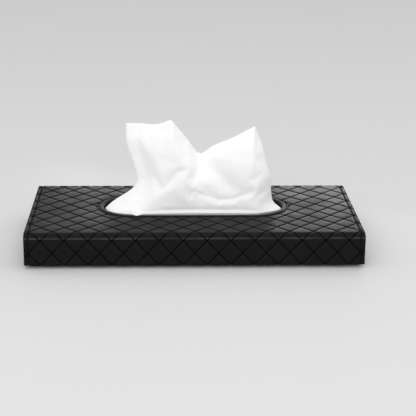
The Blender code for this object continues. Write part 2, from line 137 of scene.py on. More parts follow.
# Stitches: a thread's rings lie at shares of its half length, and its ends dip below the leather
STITCH_LENGTH = 0.0027
STITCH_PITCH = 0.0033
STITCH_RADIUS = 0.00036
STITCH_LIFT = 0.00024
STITCH_DIP = 1.6
STITCH_SLANT = 0.10
STITCH_SIDES = 6
STITCH_RING_SHARES = (-0.88, -0.5, 0.0, 0.5, 0.88)
ROUTE_STEPS = 4
THREAD_SINK = 0.00052
INNER_THREAD_SINK = 0.00038
OPENING_THREAD_SINK = 0.00032
STRAP_THREAD_SINK = 0.00005
STRAP_STITCH_INSET = 0.0004
STRAP_SIDE_STEPS = 11
LIP_SIDE_STEPS = 24
LIP_CORNER_STEPS = 12

# Pack: each layer is a little off the middle, fills most of its pitch and has rounded edges
LAYER_COUNT = 14
LAYER_SHIFT = 0.0006
LAYER_SHIFT_TURN = 2.4
LAYER_Y_SHARE = 0.5
LAYER_MARGIN = (0.002, 0.0016)
LAYER_FILL = 0.97
LAYER_ROUNDING = 0.42
LAYER_ROUND_STEPS = 3

# Straps: ribs across, and edges that thin out
RIB_PITCH = 0.0012
RIB_DEPTH = 0.00022
RIB_STEPS = 4
STRAP_SHARES = (0.0, 0.02, 0.06, 0.5, 0.94, 0.98, 1.0)
STRAP_EDGE_THINNING = 0.0006
STRAP_EDGE_SHARE = 0.05

# Leather's look. Heights are in millimetres, and places across a line in shares of a diamond.
LEATHER_COLOURS = ((0.0056, 0.0056, 0.0059), (0.0078, 0.0078, 0.0082))
LEATHER_SPECULAR = 0.06
LEATHER_MEAN_ROUGHNESS = 0.46
LEATHER_ROUGHNESS = (0.40, 0.52)
PATCH_SCALE = 55.0
PATCH_DETAIL = 4.0
NOISE_RANGE = (0.3, 0.7)
NOISE_DETAIL = 3.0
GRAIN_SCALE = 1500.0
FINE_GRAIN_SCALE = 2.2
FINE_GRAIN_SHARE = 0.5
GRAIN_BUMP = (0.35, 0.00006)
# Painted shade in the quilt's grooves: their colour goes darker toward this one with depth
GROOVE_PAINTED_SHADE_COLOUR = (0.0020, 0.0020, 0.0021)
GROOVE_HEIGHTS_MM = (-0.50, -0.16)
GROOVE_PAINTED_SHADE_SHARE = 0.9
GROOVE_ROUGHNESS = 0.55
LINE_HALF_SHARE = 0.026
DASHES_A_DIAMOND = 4.0
DASH_SHARES = (0.06, 0.22)
LINE_BUMP = (1.0, 0.00022)
# A painted highlight along the fold at the front: a lighter colour, in patches
FOLD_HIGHLIGHT_COLOUR = (0.036, 0.036, 0.038)
FOLD_HIGHLIGHT_REACH = (0.0002, 0.0008)
FOLD_HIGHLIGHT_SCALE = 60.0
FOLD_HIGHLIGHT_NOISE_RANGE = (0.34, 0.56)
FOLD_HIGHLIGHT_LEAST = 0.2

# Plain finishes: roughness, specular level, noise scale and detail, two colours, and the
# strength and depth of the bump
EDGE_PAINT = (0.50, 0.15, 900.0, 3.0, (0.010, 0.010, 0.011), (0.022, 0.022, 0.024), 0.3, 0.00010)
BOARD = (0.88, 0.2, 1200.0, 6.0, (0.012, 0.012, 0.012), (0.030, 0.029, 0.028), 0.4, 0.00008)
PALE_FLOOR = (0.75, 0.2, 6.0, 3.0, (0.62, 0.62, 0.62), (0.64, 0.64, 0.64), 0.0, 0.0)

# Thread
THREAD_COLOURS = ((0.003, 0.003, 0.0033), (0.009, 0.009, 0.0095))
THREAD_ROUGHNESS = 0.75
THREAD_SPECULAR = 0.06
THREAD_SHEEN = 0.03
TWIST_SCALE = 900.0
TWIST_DISTORTION = 1.2
TWIST_BUMP = (0.6, 0.00006)

# Weaves: roughness, threads' scale, and two colours
LINING = (0.85, 5200.0, (0.010, 0.010, 0.011), (0.028, 0.028, 0.030))
ELASTIC = (0.8, 4200.0, (0.010, 0.010, 0.011), (0.034, 0.034, 0.037))
WEAVE_SPECULAR = 0.25
WEAVE_SHEEN = 0.2
WEAVE_BUMP = (0.5, 0.00010)

# Steel
STEEL_COLOURS = ((0.15, 0.15, 0.155), (0.24, 0.24, 0.245))
STEEL_MEAN_ROUGHNESS = 0.45
STEEL_ROUGHNESS = (0.38, 0.55)
SCUFF_SCALE = 700.0
SCUFF_DETAIL = 6.0

# Tissue's look
TISSUE_COLOURS = ((0.89, 0.89, 0.89), (0.93, 0.93, 0.93))
TISSUE_ROUGHNESS = 0.92
TISSUE_SPECULAR = 0.15
TISSUE_GLOW = 0.35
TISSUE_GLOW_DEPTH = 0.003
FIBRE_SCALE = 900.0
FIBRE_DETAIL = 5.0
CREPE_SCALE = 120.0
CREPE_SHARE = 1.5
TISSUE_BUMP = (0.25, 0.00012)

# Drawn tissue, in millimetres: x, y, and height over the top. Each row runs from one free edge
# behind, round the left fold, across the front, round the right fold and back past that edge.
TISSUE_ROWS_MM = (
    ((6, 17, 0.5), (-28, 16.5, 0.5), (-50, 15.5, 0.5), (-63.5, 3, -0.6), (-57.5, -9.8, 0),
     (-43, -15.1, 0.3), (-21, -14, 0.4), (-6.3, -13.3, 0.4), (5.9, -13.3, 0.4), (18, -13.4, 0.4),
     (31, -13.6, 0.4), (47, -13.6, 0.4), (64, 0, -0.8), (52.5, 13, 0.5), (30, 16.5, 0.5),
     (-6, 18.8, 0.5)),
    ((6, 16.6, 2), (-28, 16, 2), (-50, 14.5, 2), (-61, 3, 2), (-54.5, -9.4, 2.4),
     (-41, -14, 2.6), (-20, -12.9, 2.6), (-6, -12.2, 2.6), (5.9, -12.2, 2.6), (18, -12.2, 2.6),
     (30.5, -12.5, 2.6), (46.5, -13, 2.6), (60, 0.5, 2.2), (52, 12.5, 2.3), (30, 16, 2.3),
     (-6, 18.4, 2)),
    ((5, 16.8, 4), (-28, 16, 4), (-48, 14.5, 4), (-56.3, 3, 5.6), (-48.5, -8.4, 5),
     (-35, -12.4, 6), (-19, -13.2, 6), (-5.6, -12.8, 6), (5.9, -12.6, 6), (18, -12.6, 6),
     (30.3, -12.8, 6), (45.5, -12.6, 5.8), (57.5, 1, 5.8), (51, 12.5, 4), (30, 16, 4),
     (-6, 18.8, 4)),
    ((4, 17.6, 8), (-26, 17, 8), (-40, 15, 9), (-44, 3.5, 14), (-39, -4.5, 12.6),
     (-29.5, -10, 14), (-16.5, -12, 14.4), (-5.4, -12.2, 14.5), (5.5, -11.2, 13.5),
     (17.5, -11, 12.8), (29.8, -12, 13.6), (44, -11.5, 13.8), (56.4, 1, 13.5), (48, 14, 9),
     (28, 17, 7), (-6, 20, 8)),
    ((3, 18, 16), (-22, 19, 18), (-35, 20, 19), (-40.9, 4, 22), (-34.3, -1, 21.5),
     (-26.5, -8.5, 23.8), (-14, -11.6, 25), (-4.6, -11.5, 24), (5, -9.5, 21.5),
     (16.7, -10, 21.8), (29.4, -11, 23.8), (43.5, -11, 24), (55.8, 1, 24), (44, 17, 18),
     (26, 19, 16), (-5, 21, 15)),
    ((2, 18, 24), (-21, 20, 30), (-35, 22, 32), (-44, 5, 34.5), (-36.6, 1, 35.5),
     (-27, -7, 38.5), (-12.8, -11.2, 38.5), (-4.4, -9.5, 36), (4.6, -6.5, 29), (16, -8, 30.4),
     (29.2, -9.5, 35.5), (43, -10, 36), (52.4, 2, 35), (40, 19, 30), (24, 20, 26),
     (-3, 21.4, 21)),
    ((1.5, 17.5, 29), (-22, 20, 40), (-37, 22, 44), (-48.1, 5, 47.5), (-38.5, 1, 49.5),
     (-27.3, -6, 52), (-14, -10.4, 52.5), (-5.4, -6, 46), (4.4, -2, 35), (15, -5, 39),
     (28.6, -7.5, 45.5), (42.8, -7, 49), (49.6, 3, 46), (37, 19, 40), (22, 20, 34),
     (-1, 21.2, 26)),
    ((0, 17, 32), (-22, 19, 48), (-38, 21, 56), (-48.5, 5, 61.9), (-38.5, 1, 63.1),
     (-26.5, -4, 63.7), (-16.2, -9, 67.8), (-5.6, -2, 53.6), (4.4, 5, 39.7), (14, -1, 47),
     (28.8, -4, 54.3), (43.4, -3, 61.7), (45.4, 6, 55.5), (36, 17, 50), (22, 19, 42),
     (1, 20.6, 30)))
# Rows below the lowest one, each a share of its x and y, and a drop in millimetres
TISSUE_FOOT_SHARES = ((0.85, 0.50, 9.5), (0.94, 0.86, 3.6), (0.99, 0.955, 0.9))
# Creases of the front: their line as (x, height over the top) in millimetres, then their depth,
# half width and the power that shapes them
TISSUE_CREASES_MM = (
    (((-11.5, 31), (-17, 24), (-23.5, 16)), 0.7, 1.8, 1.5),
    (((4, 37), (1.5, 28), (0.5, 19)), 0.8, 2.4, 1.5),
    (((8, 38), (14, 30), (24, 22), (36, 14)), 2.1, 6.0, 2),
    (((3, 14.5), (11, 11.5), (18, 9.5), (28, 10.5), (38, 14)), 0.7, 1.6, 1.5),
    (((-42, 8), (-33, 10.5), (-26, 14)), 0.6, 2.2, 1.5))
CREASE_COLUMNS = (3.2, 11.8)
CREASE_ENDS = (0.12, 0.88)
ACROSS_STEPS = 9
UP_STEPS = 6
TENSION = 0.42
PEAK_COLUMNS = (6, 11)
PEAK_TENSION = 0.10
PEAK_START_ROW = 6.5
CREASE_ROWS = (3, 4)
CREASE_TENSION = 0.28
TISSUE_THICKNESS = 0.0004

# A small tip of the front that pokes out over the rim: its x, its half width, and how far it moves
# at each row, as (row, y, z), in millimetres
TIP_X = -40.6
TIP_HALF_WIDTH = 3.6
TIP_MOVES = ((1, 0, 0), (2, -3.0, 1.6), (3, -7.2, 0.6), (4, -1.2, 0), (4.8, 0, 0))

# Cloth run of the tissue: it grows a little, and buckles between the parts that are held
TISSUE_GROWTH = 0.012
TISSUE_QUALITY = 6
TISSUE_MASS = 0.15
TISSUE_BENDING = 5.0
TISSUE_FRAMES = 14
SOFT_HOLD = 0.05
EDGE_HOLD = 0.6
EDGE_ROWS = 0.5
FOLD_HOLD = 0.7
FOLD_HOLD_COLUMNS = 0.25
FOLD_COLUMNS = (3, 12)
FOLD_STILLNESS = 0.85
FOLD_STILL_COLUMNS = 0.9
FOOT_ROW = 5.6
FOOT_FADE_ROWS = 2
RIPPLE_HEIGHT = 0.0003
RIPPLE_SCALE = 120.0
RIPPLE_DEPTH_SCALE = 0.5
RIPPLE_OCTAVES = (1, 2)

# Fitted camera
CAMERA_PLACE = (-0.0219, -0.8821, 0.3033)
CAMERA_PITCH = 17.50
CAMERA_YAW = 2.12
CAMERA_ROLL = 0.50
CAMERA_FOCUS_PX = 1268.8
IMAGE_WIDTH_PX = 416
SENSOR_WIDTH = 36.0

# Studio. Each light is its name, place, target, size and power, and whether it lights matt faces.
WORLD_LIGHT = 0.85
BACKGROUND_LIGHT = 1.0
LIGHTS = (
    ("front", (-0.15, -1.45, 0.9), (0, 0, 0.05), (1.2, 0.8), 12.5, True),
    ("overhead", (0.1, -0.1, 1.3), (0, 0, 0), (1.6, 0.25), 2.0, True),
    ("back", (0.075, 0.13, 0.046), (0.030, 0.045, TOP_Z), (0.44, 0.026), 0.19, False))
FLOOR_HALF_SIZE = 4.0
FLOOR_DROP = 0.0002


def unit(angle):
    return np.array((math.cos(angle), math.sin(angle)))


class Section:
    """A line in (y, z) that leather is bent along, from the distance s = start_s on.

    Each run is (length, turn in degrees). side is 1 where the leather's outer face lies to the
    left of the way along the line. way is 1 where s grows along the line.
    """

    def __init__(self, start, heading, side, start_s, way, runs):
        self.start, self.heading, self.side = np.array(start), math.radians(heading), side
        self.start_s, self.way, self.runs = start_s, way, runs
        self.end_s = start_s + way * sum(length for length, turn in runs)

    def fold_lines(self, steps, thickness):
        """The distances s at which a fold is divided, up to where its inner face is straight."""
        lines, travelled = [], 0.0
        for length, turn in self.runs:
            if turn:
                places = [travelled + length * i / steps for i in range(steps + 1)]
                places += [travelled + length + thickness * share for share in PAST_FOLD_SHARES]
                lines += [self.start_s + self.way * place for place in places]
            travelled += length
        return lines

    def place(self, s, height):
        """Points in (y, z) at the distances s, raised by height off the line."""
        travel = self.way * (np.asarray(s) - self.start_s)
        result = np.zeros((len(travel), 2))
        begun, angle, corner = 0.0, self.heading, self.start
        for number, (length, turn) in enumerate(self.runs):
            here = travel >= begun if number else np.full(len(travel), True)
            step = travel[here] - begun
            turned = math.radians(turn)
            if turn:
                radius = length / turned
                centre = corner + radius * unit(angle + math.pi / 2)
                heading = angle + turned * step / length
                across = np.stack([-np.sin(heading), np.cos(heading)], axis=1)
                spot = centre - radius * across
                corner = centre - radius * unit(angle + turned + math.pi / 2)
            else:
                across = np.tile(unit(angle + math.pi / 2), (len(step), 1))
                spot = corner + step[:, None] * unit(angle)
                corner = corner + length * unit(angle)
            result[here] = spot + self.side * across * np.asarray(height)[here][:, None]
            begun += length
            angle += turned
        return result

    def route(self, x, s, height, side=1):
        """Points at the places (x, s), raised by height, and their outward directions."""
        level = np.zeros(len(s))
        out = side * (self.place(s, level + 1) - self.place(s, level))
        spot = self.place(s, level + height)
        return np.column_stack([x + level, spot]), np.column_stack([level, out])


def case_runs():
    """Runs of the case's leather from its back fold, over the top, down the front and back."""
    slope, turn = math.radians(SLOPE_ANGLE), math.radians(90 - SLOPE_ANGLE)
    bends_y = SLOPE_RADIUS * math.sin(slope) + TURN_RADIUS * (1 - math.sin(slope))
    run = (SLOPE_REACH - bends_y) / math.cos(slope)
    drop = (SLOPE_RADIUS * (1 - math.cos(slope)) + run * math.sin(slope)
            + TURN_RADIUS * math.cos(slope))
    return [(2 * HALF_DEPTH - FOLD_RADIUS - SLOPE_REACH, 0), (SLOPE_RADIUS * slope, SLOPE_ANGLE),
            (run, 0), (TURN_RADIUS * turn, 90 - SLOPE_ANGLE),
            (TOP_Z - BASE_Z - LOWER_RADIUS - drop, 0), (LOWER_RADIUS * math.pi / 2, 90),
            (BASE_BACK_Y + HALF_DEPTH - LOWER_RADIUS, 0)]


FOLD_LENGTH = FOLD_RADIUS * math.pi / 2
BACK_S = HALF_DEPTH - FOLD_RADIUS - QUILT_FIRST_ROW_Y
CASE_SECTION = Section(
    (HALF_DEPTH - FOLD_RADIUS, TOP_Z), 180, -1, BACK_S, -1, case_runs())
FLAP_SECTION = Section(
    (HALF_DEPTH - FOLD_RADIUS, TOP_Z), 0, 1, BACK_S, 1,
    [(FOLD_LENGTH, -90), (TOP_Z - 2 * FOLD_RADIUS, 0)])
# Where the fold along the front has its middle
TO_FOLD, FOLD = CASE_SECTION.runs[:3], CASE_SECTION.runs[3]
FOLD_CORNER_S = BACK_S - sum(length for length, turn in TO_FOLD) - FOLD[0] / 2
LIP_SECTION = Section(
    (HALF_DEPTH, FOLD_RADIUS), -90, 1, FLAP_SECTION.end_s, 1,
    [(FOLD_LENGTH, -90), (HALF_DEPTH - FOLD_RADIUS - LIP_FRONT_Y, 0)])


def opening_distance(x, y, margin):
    """How far (x, y) lies outside the opening's outline, moved outward by margin."""
    nearest = np.clip(x, -OPENING_REACH, OPENING_REACH)
    return np.hypot(x - nearest, y - OPENING_SETBACK) - OPENING_RADIUS - margin


def stadium(margin):
    """The opening's outline, moved outward by margin, as (x, y) and the outward (x, y)."""
    radius = OPENING_RADIUS + margin
    points = []
    for side in (1, -1):
        first = -90 if side > 0 else 90
        for i in range(ROUND_STEPS + 1):
            out = unit(math.radians(first + 180 * i / ROUND_STEPS))
            points.append((side * OPENING_REACH + radius * out[0],
                           OPENING_SETBACK + radius * out[1], *out))
        for i in range(1, STRAIGHT_STEPS):
            x = side * OPENING_REACH * (1 - 2 * i / STRAIGHT_STEPS)
            points.append((x, OPENING_SETBACK + side * radius, 0, side))
    return points


def circle_reach(centre_x, centre_s, radius):
    """A function for how far (x, s) lies outside a circle."""
    return lambda x, s: np.hypot(x - centre_x, s - centre_s) - radius


def quilt_place(x, s):
    """Place in the quilt: its lines lie where u or v is a whole number."""
    return x / QUILT_WIDTH + s / QUILT_DEPTH, x / QUILT_WIDTH - s / QUILT_DEPTH


def quilt_height(x, s):
    """Height of the quilted face: flat diamonds that round down into pressed lines."""
    lines = dome = 1.0
    for value in quilt_place(x, s):
        distance = np.abs(value - np.round(value)) * LINE_PITCH
        lines = lines * (1 - np.exp(-(distance / GROOVE_SPREAD) ** 2))
        dome = dome * np.abs(np.sin(math.pi * value))
    return -CROWN_HEIGHT * (1 - dome ** CROWN_FLATNESS) - GROOVE_DEPTH * (1 - lines)


def ditch(distance, depth, spread):
    """Height of a soft groove at a distance from its middle."""
    return -depth * np.exp(-(distance / spread) ** 2)


def mesh_from(name, points, faces):
    mesh = bpy.data.meshes.new(name)
    mesh.from_pydata(points, [], faces)
    return mesh


def finished_mesh(name, mesh_data):
    """A mesh from edit data, which is freed."""
    mesh = bpy.data.meshes.new(name)
    mesh_data.to_mesh(mesh)
    mesh_data.free()
    return mesh


def turn_outward(mesh, closing=False):
    """Turn a mesh's faces outward, after closing its open ends where asked."""
    mesh_data = bmesh.new()
    mesh_data.from_mesh(mesh)
    if closing:
        open_edges = [edge for edge in mesh_data.edges if edge.is_boundary]
        bmesh.ops.holes_fill(mesh_data, edges=open_edges)
    bmesh.ops.recalc_face_normals(mesh_data, faces=mesh_data.faces[:])
    mesh_data.to_mesh(mesh)
    mesh_data.free()


def quilt_grid(low, high):
    """Cells that follow the quilt's lines, over a rectangle in (x, s), as an open mesh."""
    corners = [quilt_place(x, s) for x in (low[0], high[0]) for s in (low[1], high[1])]
    axes = []
    for axis in range(2):
        values = [corner[axis] for corner in corners]
        whole = range(math.floor(min(values)), math.ceil(max(values)) + 1)
        axes.append(np.array([n + share for n in whole for share in CELL_SHARES]))
    u, v = np.meshgrid(*axes, indexing="ij")
    x, s = QUILT_WIDTH * (u + v) / 2, QUILT_DEPTH * (u - v) / 2
    spare = QUILT_DEPTH / len(CELL_SHARES)
    near = ((x > low[0] - spare) & (x < high[0] + spare)
            & (s > low[1] - spare) & (s < high[1] + spare))
    cell = near[:-1, :-1] | near[1:, :-1] | near[:-1, 1:] | near[1:, 1:]
    index = np.arange(u.size).reshape(u.shape)
    faces = np.stack([index[:-1, :-1], index[:-1, 1:], index[1:, 1:], index[1:, :-1]], axis=-1)
    used, faces = np.unique(faces[cell], return_inverse=True)
    flat = np.stack([x.ravel()[used], s.ravel()[used], np.zeros(len(used))], axis=1)
    mesh = mesh_from("flat", flat.tolist(), faces.reshape(-1, 4).tolist())
    mesh_data = bmesh.new()
    mesh_data.from_mesh(mesh)
    bpy.data.meshes.remove(mesh)
    return mesh_data


def score(mesh_data, reach):
    """Divide the faces along the line where reach(x, s) is 0, and return each vertex's reach."""
    verts = mesh_data.verts[:]
    flat = np.array([vert.co[:2] for vert in verts])
    distance = reach(flat[:, 0], flat[:, 1])
    slope_x = (reach(flat[:, 0] + SLOPE_STEP, flat[:, 1]) - distance) / SLOPE_STEP
    slope_s = (reach(flat[:, 0], flat[:, 1] + SLOPE_STEP) - distance) / SLOPE_STEP
    close = np.abs(distance) < SNAP
    level = {}
    for i, vert in enumerate(verts):
        level[vert] = 0.0 if close[i] else distance[i]
        if close[i]:
            vert.co.x -= distance[i] * slope_x[i]
            vert.co.y -= distance[i] * slope_s[i]
    for edge in mesh_data.edges[:]:
        first, last = edge.verts
        if level[first] * level[last] < 0:
            share = level[first] / (level[first] - level[last])
            level[bmesh.utils.edge_split(edge, first, share)[1]] = 0.0
    for face in mesh_data.faces[:]:
        levels = [level[vert] for vert in face.verts]
        if min(levels) < 0 < max(levels):
            on_line = [vert for vert in face.verts if level[vert] == 0]
            if len(on_line) == 2:
                bmesh.utils.face_split(face, *on_line)
    return level


def trim(mesh_data, reach):
    """Cut the mesh along the line where reach(x, s) is 0, and drop the side where it is less."""
    level = score(mesh_data, reach)
    beyond = [vert for vert in mesh_data.verts if level[vert] < 0]
    bmesh.ops.delete(mesh_data, geom=beyond, context="VERTS")


def close_sheet(mesh_data, reaches, fold_lines, x_ends, pockets):
    """Give a flat outer face its rim and its plain inner face, with a few large triangles.

    The new vertices have z = -1, and the outer ones keep z = 0. Each pocket in the inner face is
    (x, s, radius, z of its floor).
    """
    border = [edge for edge in mesh_data.edges if edge.is_boundary]
    outer = list(dict.fromkeys(vert for edge in border for vert in edge.verts))
    inner = {vert: mesh_data.verts.new((*vert.co[:2], -1.0)) for vert in outer}
    for edge in border:
        loop = edge.link_loops[0]
        first, last = loop.vert, loop.link_loop_next.vert
        rim = mesh_data.faces.new((last, first, inner[first], inner[last]))
        rim.material_index = RIM_SLOT
    number = {vert: i for i, vert in enumerate(outer)}
    points = [Vector(vert.co[:2]) for vert in outer]
    lines = [tuple(number[vert] for vert in edge.verts) for edge in border]
    for s in fold_lines:
        points += [Vector((x_ends[0], s)), Vector((x_ends[1], s))]
        lines.append((len(points) - 2, len(points) - 1))
    circles = []
    for centre_x, centre_s, radius, floor_z in pockets:
        start = len(points)
        circles.append((start, floor_z))
        for i in range(POCKET_SIDES):
            out = unit(2 * math.pi * i / POCKET_SIDES)
            points.append(Vector((centre_x, centre_s)) + radius * Vector(out))
            lines.append((start + i, start + (i + 1) % POCKET_SIDES))
        reaches = reaches + [circle_reach(centre_x, centre_s, radius)]
    filled = geometry.delaunay_2d_cdt(points, lines, [], 0, SAME_PLACE, True)
    verts = []
    for place, sources in zip(filled[0], filled[3]):
        known = [source for source in sources if source < len(outer)]
        verts.append(inner[outer[known[0]]] if known else mesh_data.verts.new((*place, -1.0)))
    for corners in filled[2]:
        centre = sum((filled[0][i] for i in corners), Vector((0, 0))) / len(corners)
        if min(float(reach(centre.x, centre.y)) for reach in reaches) > 0:
            face = mesh_data.faces.new([verts[i] for i in reversed(corners)])
            face.material_index = INNER_SLOT
    made_from = {source: vert for vert, sources in zip(verts, filled[3]) for source in sources}
    for first, floor_z in circles:
        mouth = [made_from[first + i] for i in range(POCKET_SIDES)]
        floor = [mesh_data.verts.new((*vert.co[:2], floor_z)) for vert in mouth]
        mesh_data.faces.new(floor[::-1]).material_index = INNER_SLOT
        for i in range(POCKET_SIDES):
            wall = (mouth[i], mouth[i - 1], floor[i - 1], floor[i])
            mesh_data.faces.new(wall).material_index = INNER_SLOT
    loose = [vert for vert in mesh_data.verts if not vert.link_faces]
    bmesh.ops.delete(mesh_data, geom=loose, context="VERTS")


def link(data, name, *materials):
    """An object of a mesh, a light or a camera, put in the scene."""
    item = bpy.data.objects.new(name, data)
    bpy.context.scene.collection.objects.link(item)
    for material in materials:
        data.materials.append(material)
    return item


def leather_sheet(name, section, thickness, reaches, scores, height, materials, pockets=()):
    """A closed sheet of quilted leather, bent along its section.

    reaches are the signed distances to its borders, and scores those to lines that only divide
    it. materials are those of the outer face, the rim and the inner face.
    """
    low_s, high_s = sorted((section.start_s, section.end_s))
    reaches = [lambda x, s: x + HALF_WIDTH, lambda x, s: HALF_WIDTH - x,
               lambda x, s: s - low_s, lambda x, s: high_s - s] + reaches
    mesh_data = quilt_grid((-HALF_WIDTH, low_s), (HALF_WIDTH, high_s))
    for reach in reaches:
        trim(mesh_data, reach)
    fold_lines = [s for s in section.fold_lines(FOLD_STEPS, thickness)
                  if low_s + SNAP < s < high_s - SNAP]
    for s in fold_lines:
        score(mesh_data, lambda x, t, s=s: t - s)
    for reach in scores:
        score(mesh_data, reach)
    close_sheet(mesh_data, reaches, fold_lines, (-HALF_WIDTH, HALF_WIDTH), pockets)
    mesh = finished_mesh(name, mesh_data)
    flat = np.zeros(len(mesh.vertices) * 3)
    mesh.vertices.foreach_get("co", flat)
    flat = flat.reshape(-1, 3)
    x, s = flat[:, 0], flat[:, 1]
    raised = np.where(flat[:, 2] < 0, flat[:, 2] * thickness,
                      np.maximum(height(x, s), -DEEPEST_GROOVE))
    bent = section.place(s, raised)
    mesh.vertices.foreach_set("co", np.stack([x, bent[:, 0], bent[:, 1]], axis=1).ravel())
    u, v = quilt_place(x, s)
    quilt = mesh.attributes.new("quilt", "FLOAT_VECTOR", "POINT")
    quilt.data.foreach_set("vector", np.stack([u, v, raised / MILLIMETRE], axis=1).ravel())
    mesh.shade_smooth()
    mesh.set_sharp_from_angle(angle=SHARP_ANGLE)
    for polygon in mesh.polygons:
        if polygon.material_index == INNER_SLOT:
            polygon.use_smooth = False
    return link(mesh, name, *materials)


def edge_scores():
    """Lines along the stitched edges, so that their grooves are clean."""
    lines = []
    for side in (-1, 1):
        middle = side * (HALF_WIDTH - EDGE_STITCH_INSET)
        places = [middle + share * STITCH_GROOVE[1] for share in STITCH_GROOVE_LINES]
        places.append(side * (HALF_WIDTH - RAW_EDGE[1]))
        lines += [lambda x, s, place=place: x - place for place in places]
    return lines


def sewn_height(x, s, from_edge):
    """Quilt, with the stitched groove and the rounded raw edge along an edge."""
    seam = ditch(from_edge - EDGE_STITCH_INSET, *STITCH_GROOVE)
    return quilt_height(x, s) + seam + ditch(from_edge, *RAW_EDGE)


def ends_height(x, s):
    """Quilt, sewn at both ends."""
    return sewn_height(x, s, HALF_WIDTH - np.abs(x))


def disc(node):
    """A round node's middle x and y, its radius and its lowest z, from the frame."""
    low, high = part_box(node)
    return (low.x + high.x) / 2, (low.y + high.y) / 2, (high.x - low.x) / 2, low.z


def add_outer_leather(materials):
    """Quilted leather over the top, the front and the base, cut out round the steel discs."""
    def on_top(x, s):
        return opening_distance(x, s + QUILT_FIRST_ROW_Y, BINDING_REACH - SEAM_OVERLAP)

    reaches = [lambda x, s: np.where(s > 0, on_top(x, s), 1.0)]
    for node in ("left_strike_disc", "right_strike_disc"):
        centre_x, centre_y, radius = disc(node)[:3]
        centre_s = CASE_SECTION.end_s + BASE_BACK_Y - centre_y
        reaches.append(circle_reach(centre_x, centre_s, radius + FIT_GAP))
    scores = edge_scores()
    line = SEAM[1] * SEAM_LINE_SHARE
    scores.append(lambda x, s: np.where(s > 0, on_top(x, s) - line, 1.0))

    def height(x, s):
        return ends_height(x, s) + np.where(s > 0, ditch(on_top(x, s), *SEAM), 0)

    item = leather_sheet("quilted_leather_cover", CASE_SECTION, LEATHER_THICKNESS, reaches,
                         scores, height, materials)
    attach(item, "case")
    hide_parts("outer_cover")


def add_flap_leather(materials):
    """Quilted leather over the back fold and down the flap."""
    item = leather_sheet("quilted_leather_flap", FLAP_SECTION, LEATHER_THICKNESS, [],
                         edge_scores(), ends_height, materials)
    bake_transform(item)
    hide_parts("back_cover")


def lip_reach(x, s):
    """How far (x, s) lies inside the lip's rounded edge."""
    reach_x = HALF_WIDTH - LIP_CORNER_RADIUS
    reach_s = LIP_SECTION.end_s - LIP_CORNER_RADIUS
    beyond_x = np.maximum(np.abs(x) - reach_x, 0)
    beyond_s = np.maximum(s - reach_s, 0)
    corner = LIP_CORNER_RADIUS - np.hypot(beyond_x, beyond_s)
    return np.where((beyond_x > 0) | (beyond_s > 0), corner,
                    LIP_CORNER_RADIUS + np.minimum(reach_x - np.abs(x), reach_s - s))


def magnet_pockets():
    """The magnets' pockets in the lip's inner face, as (x, s, radius, floor) for close_sheet."""
    pockets = []
    for node in ("left_lip_magnet", "right_lip_magnet"):
        centre_x, centre_y, radius, low_z = disc(node)
        s = LIP_SECTION.start_s + FOLD_LENGTH + HALF_DEPTH - FOLD_RADIUS - centre_y
        pockets.append((centre_x, s, radius + FIT_GAP, -(low_z - FIT_GAP) / LIP_THICKNESS))
    return pockets


def add_lip_leather(materials):
    """Quilted leather of the lip, round the lower fold and under the base."""
    spread = STITCH_GROOVE[1]
    scores = [lambda x, s, inset=inset: lip_reach(x, s) - inset
              for inset in (RAW_EDGE[1], EDGE_STITCH_INSET - spread, EDGE_STITCH_INSET,
                            EDGE_STITCH_INSET + spread)]

    def height(x, s):
        return sewn_height(x, s, lip_reach(x, s))

    item = leather_sheet("quilted_leather_lip", LIP_SECTION, LIP_THICKNESS, [lip_reach], scores,
                         height, materials, magnet_pockets())
    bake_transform(item)
    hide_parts("lip_cover")


def loop_mesh(name, rings, closed_rings, closed_around, material):
    """A piece through rings of points, each ring with as many points as the next."""
    count, around = len(rings), len(rings[0])
    points = [point for ring in rings for point in ring]
    faces = []
    for i in range(count if closed_rings else count - 1):
        here, after = i * around, (i + 1) % count * around
        for j in range(around if closed_around else around - 1):
            k = (j + 1) % around
            faces.append((here + j, here + k, after + k, after + j))
    mesh = mesh_from(name, points, faces)
    turn_outward(mesh)
    mesh.shade_smooth()
    mesh.set_sharp_from_angle(angle=SHARP_ANGLE)
    return link(mesh, name, material)


def add_binding(material):
    """The strip that binds the opening: over its rim and down its wall."""
    rings = []
    for x, y, out_x, out_y in stadium(0):
        rings.append([(x + margin * out_x, y + margin * out_y, TOP_Z + height)
                      for margin, height in BINDING_SECTION])
    item = loop_mesh("opening_binding", rings, True, True, material)
    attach(item, "case")
    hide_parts("opening_edge_band")


